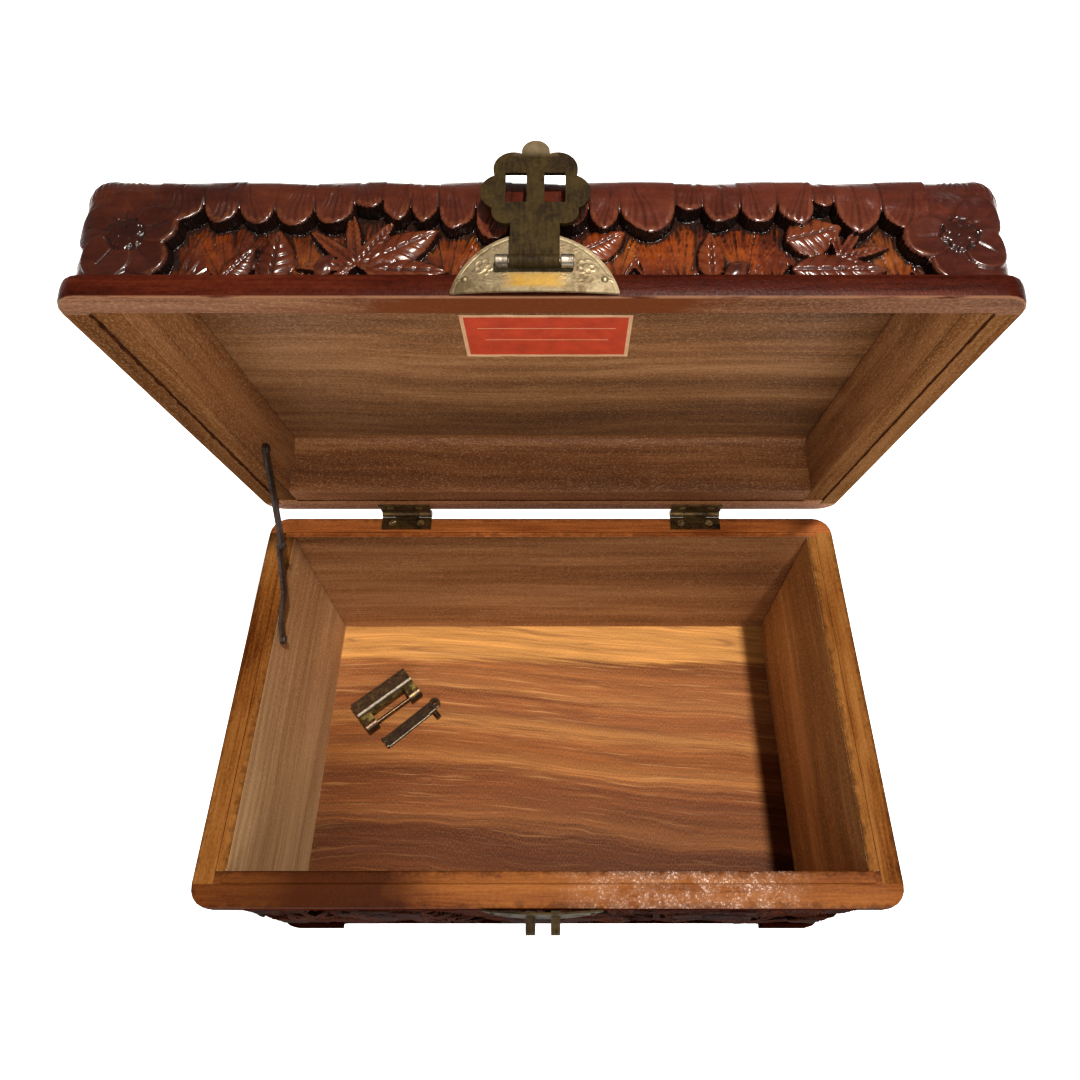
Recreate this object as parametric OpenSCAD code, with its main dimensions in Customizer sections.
// Carved wooden jewelry box: hinged lid on a folding stay, brass hasp, staples,
// sliding padlock and key. Millimetres, +Z up, +X to the right, +Y to the back.
// The origin is the centre of the base, on the surface the box stands on.
// The lid stands open; its parts are drawn closed and turned about the hinge axis.

/* [Box] */
// Width of the box at its rim, left to right
box_w = 300; // [280:1:330]
// Depth of the box at its rim, front to back
box_d = 192; // [186:1:210]
// Height of the rim above the table
box_h = 130; // [120:1:145]
// Thickness of the front board
front_t = 14.5; // [13:0.5:16]
// Thickness of the back board
back_t = 12; // [11:0.5:13]
// Thickness of the side boards
side_t = 14; // [13:0.5:15]
// Thickness of the bottom board
bottom_t = 7; // [5:0.5:8]
// Radius of the upright corners, seen from above
corner_r = 9.5; // [8:0.5:11]
// Height of the plain band below the rim
band_h = 8.5; // [7:0.5:10]
// How far the carved field lies behind the plain band
field_in = 2; // [1:0.5:3]
// Height of the raised lip inside the front rim
lip_h = 1.8; // [1:0.1:1.9]
// Width of the raised lip
lip_w = 5; // [4:0.5:6]

/* [Base] */
// Height of the base boards, feet included
base_h = 9.5; // [8:0.5:12]
// Thickness of the base boards at the feet
foot_t = 12; // [11:0.5:13]
// Length of a foot along the front
foot_l = 34; // [26:1:44]
// How far the feet lie behind the plain band
foot_in = 2.5; // [2:0.5:3]
// How far the rail between two feet lies behind the feet
rail_in = 2; // [1:0.5:3]
// Height of the opening under the rail
arch_h = 6; // [4:0.5:7]

/* [Lid] */
// Angle the lid stands open at
lid_open = 76.3; // [70:0.1:80]
// Space between the rims of box and lid when closed
lid_gap = 2; // [2:0.1:2.2]
// Height of the lid from its rim to its top
lid_h = 49.2; // [44:0.2:52]
// Depth of the hollow inside the lid
hollow_h = 30; // [28:1:32]
// How far the lid's back lies in front of the box's back
lid_back_in = 1.4; // [1:0.1:1.8]
// Thickness of the outer rails at the front and sides
rail_t = 9; // [8:0.5:10]
// Thickness of the outer rail at the back
back_rail_t = 14; // [13:0.5:15]
// Thickness of the linings glued inside the side rails
side_lining_t = 9.7; // [8.7:0.1:10]
// Thickness of the lining glued inside the back rail
back_lining_t = 12.4; // [11:0.1:13]
// Radius of the lid's rounded top edge
edge_r = 10; // [8:0.5:11]
// Width of the paper label
label_w = 66.5; // [50:0.5:80]
// Height of the paper label
label_d = 30; // [24:0.5:36]

/* [Hinges] */
// Distance of each hinge from the middle of the box
hinge_x = 77.2; // [60:0.1:100]
// Length of a hinge
hinge_l = 26.4; // [24:0.1:30]
// Radius of the knuckles
knuckle_r = 2; // [1.8:0.1:2.1]
// Thickness of the hinge leaves
leaf_t = 0.9; // [0.8:0.05:0.95]
// Radius of the hinge pins
pin_r = 0.9; // [0.8:0.05:1]

/* [Hasp] */
// Distance of the hasp from the middle of the box
hasp_x = -2; // [-6:0.5:6]
// Radius of the two brass plates
plate_r = 26.2; // [25:0.1:28]
// Height of the two brass plates
plate_h = 20.5; // [19:0.5:22]
// How far the plates bulge at their middle
plate_bulge = 1.4; // [1:0.1:1.6]
// Height of the hasp pin above the lid's rim
hasp_pin_h = 9.3; // [8.5:0.1:10]
// Distance of the hasp pin in front of the lid
hasp_pin_out = 4.4; // [4.3:0.1:4.8]
// Length of the flap from its pin to its tip
flap_l = 43.9; // [42:0.1:46]
// Width of the flap at its widest
flap_w = 34; // [32:0.5:36]
// Distance between the two staples, middle to middle
staple_gap = 10.7; // [10.4:0.1:11]

/* [Stay] */
// Length of the lower link, pivot to pivot
stay_l1 = 49; // [48.9:0.1:49.2]
// Length of the upper link, pivot to pivot
stay_l2 = 49.2; // [49:0.1:49.4]
// Width of the links
stay_w = 5; // [4:0.5:5]
// Thickness of the links
stay_t = 1.3; // [1:0.1:1.3]

/* [Padlock and key] */
// Length of the padlock's case
lock_l = 37; // [34:1:40]
// Distance across the padlock, case to arm ends
lock_w = 22; // [21:0.5:24]
// Height of the padlock as it lies
lock_h = 10; // [9:0.5:11]
// Angle the padlock lies at
lock_turn = 39.3; // [30:0.1:50]
// Length of the key's blade
key_l = 36; // [32:1:38]
// Angle the key lies at
key_turn = 41.4; // [38:0.1:44]

/* [Hidden] */

$fn = 64;
// Margin by which cutters pass the faces they cut
eps = 1;

// Box
front_y = -box_d / 2;
back_y = box_d / 2;
left_x = -box_w / 2;
floor_z = base_h + bottom_t;
inner_w = box_w - 2 * side_t;
inner_front_y = front_y + front_t;
inner_back_y = back_y - back_t;
wall_z = box_h - base_h;

// Lid, as drawn closed
lid_z = box_h + lid_gap;
lid_back_y = back_y - lid_back_in;
lid_d = lid_back_y - front_y;
lid_mid_y = (lid_back_y + front_y) / 2;
ceiling_z = lid_z + hollow_h;
side_inner_x = box_w / 2 - rail_t - side_lining_t;
lining_front_y = lid_back_y - back_rail_t - back_lining_t;
lid_field_in = 1.5;
edge_out = 0.2;
scoop_r = 28;
scoop_in = 3.4;

// Hinges
axis_y = back_y + knuckle_r;
axis_z = box_h + lid_gap / 2;
pin_fit = 0.05;
leaf_reach = 9.5;
lid_leaf_reach = 11.7;
mid_knuckle_l = 12.4;
knuckle_gap = 0.2;
knuckle_room = 0.35;
hinge_screw_x = 7.5;
hinge_screw_y = 92.2;
lid_screw_y = 89.8;
hinge_head_r = 1.9;
hinge_shank_r = 0.9;
hinge_shank_l = 7;
slot_w = 0.5;

// Hasp and plates
plate_t = 0.8;
plate_edge = 0.6;
plate_half_w = sqrt(plate_r * plate_r - pow(plate_r - plate_h, 2));
bend_r = (plate_half_w * plate_half_w + plate_bulge * plate_bulge) / (2 * plate_bulge);
nail_x = 21;
nail_z = 4.5;
nail_r = 1.3;
nail_l = 8;
loop_r = 2;
loop_w = 4.2;
tab_w = 15;
hasp_pin_r = 1;
flap_t = 1.2;
slot_x = 6;
slot_l = 10.9;
flap_slot_w = 6.5;
slot_mid = 26.15;
hasp_pin_z = lid_z + hasp_pin_h;
hasp_y = front_y - hasp_pin_out;
staple_z = hasp_pin_z - slot_mid;
staple_r = 4;
staple_t = 1;
staple_w = 4;
staple_y = front_y - 5;
staple_leg = 16;

// Stay: pivots in the plane of the links, and where the two lengths put the elbow
stay_b = [28.4, 121.9];
stay_t_rest = [90.4, 197.5];
stay_x1 = -135.3;
stay_x2 = -131;
link_gap = 0.1;
stay_span = norm(stay_t_rest - stay_b);
stay_dir = atan2(stay_t_rest[1] - stay_b[1], stay_t_rest[0] - stay_b[0]);
bend_b = acos((stay_l1 * stay_l1 + stay_span * stay_span - stay_l2 * stay_l2) / (2 * stay_l1 * stay_span));
lower_turn = stay_dir - bend_b;
elbow = stay_b + stay_l1 * [cos(lower_turn), sin(lower_turn)];
upper_turn = atan2(elbow[1] - stay_t_rest[1], elbow[0] - stay_t_rest[0]);
stay_hole_r = 1.25;
stay_pin_r = 1.2;
stay_head_r = 2.1;
stay_head_t = 0.8;
rivet_head_t = 0.9;

// Padlock and key
lock_pos = [-123.8, 27.7];
rest_gap = 0.1;
case_w = 12.5;
arm_l = 7.3;
arm_h = 8;
end_plate_t = 1.2;
cavity_w = 6;
cavity_y = -6.5;
shackle_r = 1.1;
shackle_y = -18.5;
stem_w = 2;
arm_gap = 0.3;
leaf_w = 3.4;
spring_t = 0.5;
spring_l = 14;
key_pos = [-101, 5.5];
key_w = 7.2;
key_t = 1.5;
bow_r = 3.3;
bow_h = 3.6;
bow_hole_r = 1.1;
stub_r = 1.6;
stub_l = 5;
bit_h = 3.6;
bit_t = 1.4;

// Colours
wood_red = "#5c2514";
wood_rail = "#7a3a1e";
wood_tan = "#a06a3c";
wood_floor = "#9c5c33";
brass_old = "#7d6a34";
brass_plate = "#b5a77a";
steel_dark = "#3b3432";

// ---------------------------------------------------------------- helpers

// A rectangle w by d about the origin with round corners
module rounded_plan(w, d, r) {
    square([w - 2 * r, d], center = true);
    square([w, d - 2 * r], center = true);
    for (sx = [-1, 1], sy = [-1, 1])
        translate([sx * (w / 2 - r), sy * (d / 2 - r)]) circle(r);
}

// Upright block with the box's round corners, inset by i, from z0 to z1
module corner_block(i, z0, z1) {
    translate([0, 0, z0])
        linear_extrude(z1 - z0) rounded_plan(box_w - 2 * i, box_d - 2 * i, corner_r - i);
}

// The four walls as one block: carved field below, plain band above
module wall_block() {
    corner_block(field_in, base_h, box_h - band_h);
    corner_block(0, box_h - band_h, box_h);
}

// The same for the lid's rails: plain band below, carved field above
module rail_block() {
    translate([0, lid_mid_y, lid_z])
        linear_extrude(band_h) rounded_plan(box_w, lid_d, corner_r);
    translate([0, lid_mid_y, lid_z + band_h])
        linear_extrude(hollow_h - band_h)
            rounded_plan(box_w - 2 * lid_field_in, lid_d - 2 * lid_field_in, corner_r - lid_field_in);
}

// A box between two corner points
module block(a, b) {
    translate(a) cube(b - a);
}

// Turns parts drawn in the closed lid to where the open lid holds them
module on_lid() {
    translate([0, axis_y, axis_z])
        rotate([-lid_open, 0, 0])
            translate([0, -axis_y, -axis_z]) children();
}

// A cylinder along X from x0, l long, about the line at y, z
module rod_x(x0, l, y, z, r) {
    translate([x0, y, z]) rotate([0, 90, 0]) cylinder(h = l, r = r);
}

// Extrudes a profile drawn in (y, z) along X from x0
module extrude_x(x0, l) {
    translate([x0, 0, 0]) rotate([90, 0, 90]) linear_extrude(l) children();
}

// ---------------------------------------------------------------- box

module front_board() {
    color(wood_red) {
        intersection() {
            wall_block();
            block([left_x, front_y, base_h], [-left_x, inner_front_y, box_h]);
        }
        block([-inner_w / 2, inner_front_y - lip_w, box_h - eps],
              [inner_w / 2, inner_front_y, box_h + lip_h]);
    }
}

module back_board() {
    color(wood_red) intersection() {
        wall_block();
        block([left_x, inner_back_y, base_h], [-left_x, back_y, box_h]);
    }
}

// A side board between the front and back boards
module side_board(side) {
    color(wood_red) intersection() {
        wall_block();
        translate([side * (box_w - side_t) / 2, (inner_front_y + inner_back_y) / 2, base_h + wall_z / 2])
            cube([side_t, inner_back_y - inner_front_y, wall_z], center = true);
    }
}

module left_board() {
    side_board(-1);
}

module right_board() {
    side_board(1);
}

module bottom_board() {
    color(wood_floor)
        block([-inner_w / 2, inner_front_y, base_h], [inner_w / 2, inner_back_y, floor_z]);
}

// ---------------------------------------------------------------- base

// A base board w long with a foot at each end, its outer face on y = 0
module bracket_board(w, foot) {
    difference() {
        translate([-w / 2, 0, 0]) cube([w, foot_t, base_h]);
        // opening under the rail, its ends rounded into the feet
        for (s = [-1, 1])
            translate([s * (w / 2 - foot - arch_h), -eps, 0])
                rotate([-90, 0, 0]) cylinder(h = foot_t + 2 * eps, r = arch_h);
        translate([-w / 2 + foot + arch_h, -eps, -eps])
            cube([w - 2 * foot - 2 * arch_h, foot_t + 2 * eps, arch_h + eps]);
        // the rail between the feet is set back
        translate([-w / 2 + foot, -eps, -eps]) cube([w - 2 * foot, rail_in + eps, base_h + 2 * eps]);
    }
}

// Base board across the front or the back, its outer corners rounded
module long_base_board() {
    intersection() {
        translate([0, front_y + foot_in, 0]) bracket_board(box_w, foot_l);
        corner_block(foot_in, 0, base_h);
    }
}

module base_front() {
    color(wood_red) long_base_board();
}

module base_back() {
    color(wood_red) mirror([0, 1, 0]) long_base_board();
}

// Base board under a side, between the front and back base boards
module side_base_board(side) {
    color(wood_red)
        mirror([side > 0 ? 1 : 0, 0, 0])
            translate([left_x + foot_in, 0, 0])
                rotate([0, 0, -90]) bracket_board(box_d - 2 * (foot_in + foot_t), foot_l - foot_t);
}

module base_left() {
    side_base_board(-1);
}

module base_right() {
    side_base_board(1);
}

// ---------------------------------------------------------------- lid

// Outline w wide and h high in (y, z), its two upper corners rounded a little beyond its sides
module arched_outline(w, h) {
    translate([-w / 2 - edge_out, 0]) square([w + 2 * edge_out, h - edge_r]);
    translate([-w / 2 - edge_out + edge_r, 0]) square([w + 2 * (edge_out - edge_r), h]);
    for (s = [-1, 1])
        translate([s * (w / 2 + edge_out - edge_r), h - edge_r]) circle(edge_r);
}

module lid_top() {
    w = box_w - 2 * lid_field_in;
    d = lid_d - 2 * lid_field_in;
    h = lid_h - hollow_h;
    color(wood_red) on_lid() translate([0, lid_mid_y, ceiling_z]) intersection() {
        linear_extrude(h) rounded_plan(w, d, corner_r);
        extrude_x(-w, 2 * w) arched_outline(d, h);
        rotate([0, 0, 90]) extrude_x(-w, 2 * w) arched_outline(w, h);
    }
}

module lid_front_rail() {
    color(wood_rail) on_lid() intersection() {
        rail_block();
        block([left_x, front_y, lid_z], [-left_x, front_y + rail_t, ceiling_z]);
    }
}

module lid_back_rail() {
    color(wood_rail) on_lid() intersection() {
        rail_block();
        block([left_x, lid_back_y - back_rail_t, lid_z], [-left_x, lid_back_y, ceiling_z]);
    }
}

// A side rail between the front and back rails
module lid_side_rail(side) {
    rail_d = lid_d - rail_t - back_rail_t;
    color(wood_rail) on_lid() intersection() {
        rail_block();
        translate([side * (box_w - rail_t) / 2, front_y + rail_t + rail_d / 2, lid_z + hollow_h / 2])
            cube([rail_t, rail_d, hollow_h], center = true);
    }
}

module lid_left_rail() {
    lid_side_rail(-1);
}

module lid_right_rail() {
    lid_side_rail(1);
}

// A lining glued inside a side rail
module lid_side_lining(side) {
    color(wood_tan) on_lid()
        translate([side * (side_inner_x + side_lining_t / 2), 0, 0])
            block([-side_lining_t / 2, front_y + rail_t, lid_z],
                  [side_lining_t / 2, lid_back_y - back_rail_t, ceiling_z]);
}

module lid_left_lining() {
    lid_side_lining(-1);
}

module lid_right_lining() {
    lid_side_lining(1);
}

// The back lining is scooped out along its length
module lid_back_lining() {
    color(wood_tan) on_lid() difference() {
        block([-side_inner_x, lining_front_y, lid_z],
              [side_inner_x, lid_back_y - back_rail_t, ceiling_z]);
        rod_x(-side_inner_x - eps, 2 * (side_inner_x + eps),
              lining_front_y + scoop_in - scoop_r, lid_z + hollow_h / 2, scoop_r);
    }
}

module paper_label() {
    label_t = 0.25;
    label_y = -26.2;
    color("firebrick") on_lid()
        translate([0, label_y, ceiling_z - label_t / 2]) cube([label_w, label_d, label_t], center = true);
}

// ---------------------------------------------------------------- hinges

// Holes for the two screws of a leaf at y
module screw_holes(y) {
    for (s = [-1, 1])
        translate([s * hinge_screw_x, y, box_h - eps]) cylinder(h = lid_gap + 2 * eps, r = hinge_head_r + pin_fit);
}

// Leaf on the box's rim, with the middle knuckle
module box_leaf() {
    color(brass_old) difference() {
        union() {
            block([-hinge_l / 2, axis_y - leaf_reach, box_h],
                  [hinge_l / 2, axis_y - knuckle_r - knuckle_room, box_h + leaf_t]);
            block([-mid_knuckle_l / 2, axis_y - leaf_reach, box_h],
                  [mid_knuckle_l / 2, axis_y, box_h + leaf_t]);
            rod_x(-mid_knuckle_l / 2, mid_knuckle_l, axis_y, axis_z, knuckle_r);
        }
        rod_x(-hinge_l, 2 * hinge_l, axis_y, axis_z, pin_r + pin_fit);
        screw_holes(hinge_screw_y);
    }
}

// Leaf under the lid's rim, with the two outer knuckles
module lid_leaf() {
    end_l = (hinge_l - mid_knuckle_l) / 2 - knuckle_gap;
    color(brass_old) on_lid() difference() {
        union() {
            block([-hinge_l / 2, axis_y - lid_leaf_reach, lid_z - leaf_t],
                  [hinge_l / 2, axis_y - knuckle_r - knuckle_room, lid_z]);
            for (s = [-1, 1])
                translate([s * (hinge_l - end_l) / 2, 0, 0]) {
                    block([-end_l / 2, axis_y - lid_leaf_reach, lid_z - leaf_t], [end_l / 2, axis_y, lid_z]);
                    rod_x(-end_l / 2, end_l, axis_y, axis_z, knuckle_r);
                }
        }
        rod_x(-hinge_l, 2 * hinge_l, axis_y, axis_z, pin_r + pin_fit);
        screw_holes(lid_screw_y);
    }
}

module hinge_pin() {
    color(steel_dark) rod_x(-hinge_l / 2, hinge_l, axis_y, axis_z, pin_r);
}

// A slotted screw, its head's top at the origin and facing +Z
module slotted_screw(head_r, head_t, shank_r, shank_l) {
    difference() {
        translate([0, 0, -head_t]) cylinder(h = head_t, r = head_r);
        translate([-head_r - eps, -slot_w / 2, -head_t / 2]) cube([2 * (head_r + eps), slot_w, head_t]);
    }
    translate([0, 0, -head_t - shank_l]) cylinder(h = shank_l, r = shank_r);
}

module left_hinge_box_leaf() {
    translate([-hinge_x, 0, 0]) box_leaf();
}

module left_hinge_lid_leaf() {
    translate([-hinge_x, 0, 0]) lid_leaf();
}

module left_hinge_pin() {
    translate([-hinge_x, 0, 0]) hinge_pin();
}

module right_hinge_box_leaf() {
    translate([hinge_x, 0, 0]) box_leaf();
}

module right_hinge_lid_leaf() {
    translate([hinge_x, 0, 0]) lid_leaf();
}

module right_hinge_pin() {
    translate([hinge_x, 0, 0]) hinge_pin();
}

// The slots point different ways, as driven screws do
module hinge_box_screws() {
    color(brass_plate)
        for (h = [-1, 1], s = [-1, 1])
            translate([h * hinge_x + s * hinge_screw_x, hinge_screw_y, box_h + leaf_t])
                rotate([0, 0, 35 + 50 * s + 20 * h])
                    slotted_screw(hinge_head_r, leaf_t, hinge_shank_r, hinge_shank_l);
}

module hinge_lid_screws() {
    color(brass_plate) on_lid()
        for (h = [-1, 1], s = [-1, 1])
            translate([h * hinge_x + s * hinge_screw_x, lid_screw_y, lid_z - leaf_t])
                rotate([180, 0, 20 + 60 * s - 15 * h])
                    slotted_screw(hinge_head_r, leaf_t, hinge_shank_r, hinge_shank_l);
}

// ---------------------------------------------------------------- hasp

// A brass plate on the face y = front_y, bulging forward, its straight edge on z and its arc above
module bowed_plate(z) {
    intersection() {
        translate([0, front_y - plate_bulge - plate_t + bend_r, z - eps]) difference() {
            cylinder(h = plate_h + 2 * eps, r = bend_r, $fn = 360);
            translate([0, 0, -eps]) cylinder(h = plate_h + 4 * eps, r = bend_r - plate_t, $fn = 360);
        }
        translate([0, front_y + eps, z + plate_h - plate_r])
            rotate([90, 0, 0]) cylinder(h = plate_bulge + plate_t + 3 * eps, r = plate_r, $fn = 128);
        block([-plate_r, front_y - 2 * plate_bulge - eps, z], [plate_r, front_y, z + plate_h]);
    }
}

// Nails through a plate whose straight edge is at z; up is 1 or -1, the side its arc is on
module plate_nails(z, up) {
    for (s = [-1, 1])
        translate([s * nail_x, 0, z + up * nail_z]) {
            translate([0, front_y - plate_t - plate_bulge / 2, 0])
                rotate([-90, 0, 0]) cylinder(h = nail_l, r = nail_r / 2);
            intersection() {
                translate([0, front_y - plate_t, 0]) sphere(nail_r);
                block([-nail_r, front_y - plate_t - nail_r, -nail_r], [nail_r, front_y - plate_t, nail_r]);
            }
        }
}

// Two loops that hold the hasp pin stand on the plate
module lid_plate() {
    color(brass_plate) on_lid() translate([hasp_x, 0, 0]) difference() {
        union() {
            bowed_plate(lid_z + plate_edge);
            for (s = [-1, 1])
                translate([s * (tab_w / 2 + loop_w / 2 + knuckle_gap), 0, 0]) {
                    rod_x(-loop_w / 2, loop_w, hasp_y, hasp_pin_z, loop_r);
                    block([-loop_w / 2, hasp_y, hasp_pin_z - loop_r], [loop_w / 2, front_y - plate_t, hasp_pin_z]);
                }
        }
        rod_x(-plate_r, 2 * plate_r, hasp_y, hasp_pin_z, hasp_pin_r + pin_fit);
    }
}

module lid_plate_nails() {
    color(brass_plate) on_lid() translate([hasp_x, 0, 0]) plate_nails(lid_z + plate_edge, 1);
}

module hasp_pin() {
    pin_l = tab_w + 2 * (loop_w + knuckle_gap);
    color(brass_old) on_lid() rod_x(hasp_x - pin_l / 2, pin_l, hasp_y, hasp_pin_z, hasp_pin_r);
}

// Outline of the flap above its pin: a straight tab, a lobed cloud and a round tip
module flap_outline() {
    side_r = 6.4;
    upper_r = 6.2;
    tip_r = 4.4;
    lobe_x = flap_w / 2 - side_r;
    translate([-tab_w / 2, 0]) square([tab_w, 20]);
    for (s = [-1, 1]) {
        translate([s * lobe_x, 24.5]) circle(side_r);
        translate([s * 6.9, 33.2]) circle(upper_r);
        translate([s * 8.8, 17.4]) circle(4.5);
    }
    translate([-lobe_x, 19]) square([2 * lobe_x, 14]);
    translate([-5, 30]) square([10, 9]);
    translate([0, flap_l - tip_r]) circle(tip_r);
}

module hasp_flap() {
    color(brass_old) on_lid() translate([hasp_x, hasp_y, hasp_pin_z]) difference() {
        union() {
            translate([0, flap_t / 2, 0]) rotate([90, 0, 0]) linear_extrude(flap_t) flap_outline();
            rod_x(-tab_w / 2, tab_w, 0, 0, loop_r);
        }
        rod_x(-tab_w, 2 * tab_w, 0, 0, hasp_pin_r + pin_fit);
        for (s = [-1, 1])
            translate([s * slot_x, 0, slot_mid]) cube([flap_slot_w, 4 * flap_t, slot_l], center = true);
    }
}

// The plate on the box is the lid's plate turned over, with two slots for the staples
module box_plate() {
    color(brass_plate) translate([hasp_x, 0, 0]) difference() {
        translate([0, 0, 2 * box_h]) mirror([0, 0, 1]) bowed_plate(box_h + plate_edge);
        for (s = [-1, 1])
            translate([s * staple_gap / 2, front_y, staple_z])
                cube([staple_w + 0.2, 4 * staple_r, 2 * staple_r + 0.2], center = true);
    }
}

module box_plate_nails() {
    color(brass_plate) translate([hasp_x, 0, 0]) plate_nails(box_h - plate_edge, -1);
}

// A strap bent into a loop, both legs driven into the front board
module staple(x) {
    color(brass_old) extrude_x(x - staple_w / 2, staple_w) translate([staple_y, staple_z]) {
        difference() {
            circle(staple_r);
            circle(staple_r - staple_t);
            translate([0, -2 * staple_r]) square([2 * staple_r, 4 * staple_r]);
        }
        for (z = [-staple_r, staple_r - staple_t])
            translate([0, z]) square([staple_leg, staple_t]);
    }
}

module left_staple() {
    staple(hasp_x - staple_gap / 2);
}

module right_staple() {
    staple(hasp_x + staple_gap / 2);
}

// ---------------------------------------------------------------- stay

// Flat bar outline from pivot to pivot along +Y, with round ends
module bar_outline(l) {
    circle(stay_w / 2);
    translate([l, 0]) circle(stay_w / 2);
    translate([0, -stay_w / 2]) square([l, stay_w]);
}

// The lower link steps across from the box's side to the upper link's side
module stay_lower_link() {
    step_a = 9;
    step_b = 24;
    x_out = stay_x1;
    x_in = stay_x2 - link_gap - stay_t;
    color(steel_dark)
        translate([0, stay_b[0], stay_b[1]]) rotate([lower_turn, 0, 0]) difference() {
            intersection() {
                extrude_x(x_out - eps, x_in - x_out + stay_t + 2 * eps) bar_outline(stay_l1);
                translate([0, 0, -stay_w]) linear_extrude(2 * stay_w)
                    polygon([[x_out, -stay_w], [x_out + stay_t, -stay_w], [x_out + stay_t, step_a],
                             [x_in + stay_t, step_b], [x_in + stay_t, stay_l1 + stay_w],
                             [x_in, stay_l1 + stay_w], [x_in, step_b + stay_t / 2],
                             [x_out, step_a + stay_t / 2]]);
            }
            rod_x(x_out - eps, 2 * stay_w, 0, 0, stay_hole_r);
            rod_x(x_out - eps, 2 * stay_w, stay_l1, 0, stay_hole_r);
        }
}

module stay_upper_link() {
    color(steel_dark)
        translate([0, stay_t_rest[0], stay_t_rest[1]]) rotate([upper_turn, 0, 0]) difference() {
            extrude_x(stay_x2, stay_t) bar_outline(stay_l2);
            rod_x(stay_x2 - eps, 2 * stay_w, 0, 0, stay_hole_r);
            rod_x(stay_x2 - eps, 2 * stay_w, stay_l2, 0, stay_pin_r);
        }
}

// A tapered head on the inner side of the elbow, its shank in the upper link
module stay_rivet() {
    color(steel_dark) translate([stay_x2, elbow[0], elbow[1]]) {
        rod_x(0, stay_t, 0, 0, stay_pin_r);
        translate([stay_t, 0, 0]) rotate([0, 90, 0])
            cylinder(h = rivet_head_t, r1 = stay_head_r, r2 = stay_head_r - rivet_head_t);
    }
}

// A pivot screw along X: shank from x0, head standing on x1
module pivot_screw(x0, x1, y, z) {
    color(steel_dark) difference() {
        union() {
            rod_x(x0, x1 - x0 + stay_head_t, y, z, stay_pin_r);
            rod_x(x1, stay_head_t, y, z, stay_head_r);
        }
        translate([x1 + stay_head_t / 2, y - stay_head_r - eps, z - slot_w / 2])
            cube([stay_head_t, 2 * (stay_head_r + eps), slot_w]);
    }
}

module stay_box_screw() {
    pivot_screw(-inner_w / 2 - 8, stay_x1 + stay_t + link_gap, stay_b[0], stay_b[1]);
}

module stay_lid_screw() {
    pivot_screw(-side_inner_x - 7, stay_x2 + stay_t + link_gap, stay_t_rest[0], stay_t_rest[1]);
}

// ---------------------------------------------------------------- padlock and key

// Lays the padlock on the floor of the box: its case along +X, its arms towards -Y
module lock_place() {
    translate([lock_pos[0], lock_pos[1], floor_z + rest_gap]) rotate([0, 0, lock_turn]) children();
}

// Outline of the case across its length, drawn in (y, z)
module case_outline() {
    near = 2.8;
    far = 1.4;
    polygon([[0, lock_h / 2 - 2 * far], [0, lock_h - 2 * far], [-far, lock_h], [-case_w + near, lock_h],
             [-case_w, lock_h - near], [-case_w, near], [-case_w + near, 0], [-far, 0]]);
}

// Outline of an arm, drawn in (y, z) from the case to its round end
module arm_outline(from_y) {
    end_r = arm_h / 2;
    translate([-lock_w + end_r, lock_h / 2]) circle(end_r);
    translate([-lock_w + end_r, (lock_h - arm_h) / 2]) square([lock_w - end_r + from_y, arm_h]);
}

module lock_case() {
    color(brass_old) lock_place() difference() {
        union() {
            extrude_x(0, lock_l) case_outline();
            extrude_x(0, arm_l) arm_outline(-case_w + eps);
        }
        // hollow for the springs, open at the bolt's end, and the keyhole at the other
        translate([arm_l / 4, cavity_y - cavity_w / 2, lock_h / 2 - cavity_w / 2])
            cube([lock_l, cavity_w, cavity_w]);
        translate([-eps, cavity_y - 1, lock_h / 2 - 2]) cube([arm_l, 2, 4]);
        rod_x(-eps, arm_l + 2 * eps, shackle_y, lock_h / 2, shackle_r + pin_fit);
    }
}

module lock_bolt() {
    color(brass_old) lock_place() {
        extrude_x(lock_l + rest_gap, end_plate_t) {
            case_outline();
            arm_outline(-case_w + eps);
        }
        extrude_x(lock_l - arm_l + end_plate_t, arm_l) arm_outline(-case_w - arm_gap);
        rod_x(-rest_gap, lock_l, shackle_y, lock_h / 2, shackle_r);
        translate([arm_l, cavity_y - stem_w / 2, lock_h / 2 - stem_w / 2])
            cube([lock_l - arm_l + end_plate_t, stem_w, stem_w]);
    }
}

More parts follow.
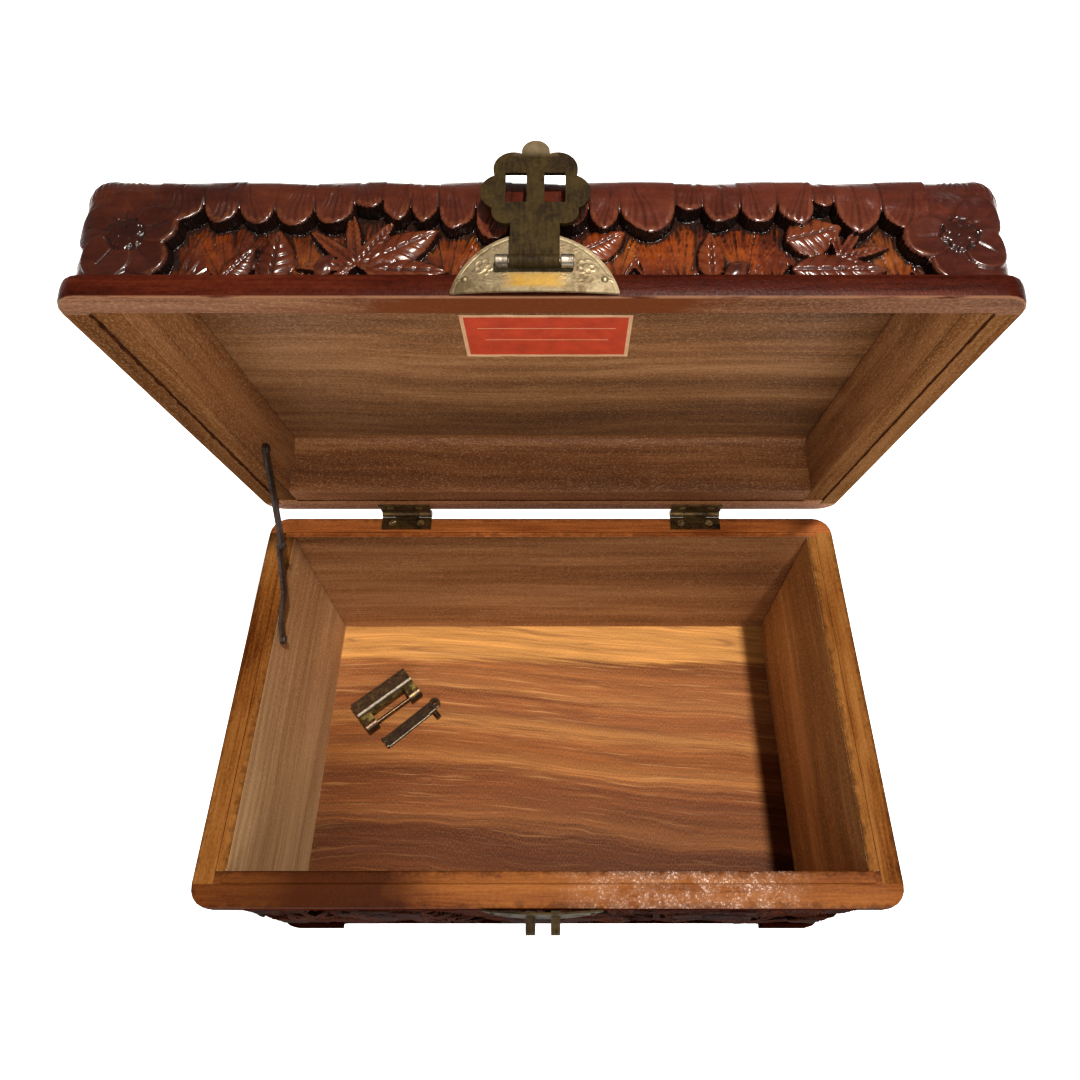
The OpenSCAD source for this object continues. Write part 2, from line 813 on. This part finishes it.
// Two leaves that spread from the tip of the bolt's stem
module lock_springs() {
    spread = (cavity_w - stem_w) / 2 - 0.3;
    color(brass_plate) lock_place()
        translate([0, cavity_y, lock_h / 2 - leaf_w / 2]) for (s = [-1, 1])
            linear_extrude(leaf_w) polygon([
                [arm_l, s * stem_w / 2], [arm_l, s * (stem_w / 2 + spring_t)],
                [arm_l + spring_l, s * (stem_w / 2 + spread)],
                [arm_l + spring_l, s * (stem_w / 2 + spread - spring_t)],
                [arm_l + 2 * spring_t, s * stem_w / 2]
            ]);
}

// A flat blade with an upturned notched bit at one end and a round bow at the other
module lock_key() {
    color(brass_old) translate([key_pos[0], key_pos[1], floor_z + rest_gap]) rotate([0, 0, key_turn])
        difference() {
            union() {
                translate([0, -key_w / 2, 0]) cube([key_l, key_w, key_t]);
                translate([0, -key_w / 2, 0]) cube([bit_t, key_w, bit_h]);
                translate([key_l + bow_r / 2, key_w / 2 - bow_r, 0]) cylinder(h = bow_h, r = bow_r);
                translate([key_l - stub_r, -key_w / 2, stub_r])
                    rotate([90, 0, 0]) cylinder(h = stub_l, r = stub_r);
                translate([key_l - 3 * stub_r, -key_w / 2, 0]) cube([3 * stub_r, stub_r, 2 * stub_r]);
            }
            translate([key_l + bow_r / 2, key_w / 2 - bow_r, -eps]) cylinder(h = bow_h + 2 * eps, r = bow_hole_r);
            translate([-eps, -key_w / 8, key_t]) cube([bit_t + 2 * eps, key_w / 4, bit_h]);
        }
}

front_board();
back_board();
left_board();
right_board();
bottom_board();
base_front();
base_back();
base_left();
base_right();
lid_top();
lid_front_rail();
lid_back_rail();
lid_left_rail();
lid_right_rail();
lid_left_lining();
lid_right_lining();
lid_back_lining();
paper_label();
left_hinge_box_leaf();
left_hinge_lid_leaf();
left_hinge_pin();
right_hinge_box_leaf();
right_hinge_lid_leaf();
right_hinge_pin();
hinge_box_screws();
hinge_lid_screws();
lid_plate();
lid_plate_nails();
hasp_pin();
hasp_flap();
box_plate();
box_plate_nails();
left_staple();
right_staple();
stay_lower_link();
stay_upper_link();
stay_rivet();
stay_box_screw();
stay_lid_screw();
lock_case();
lock_bolt();
lock_springs();
lock_key();
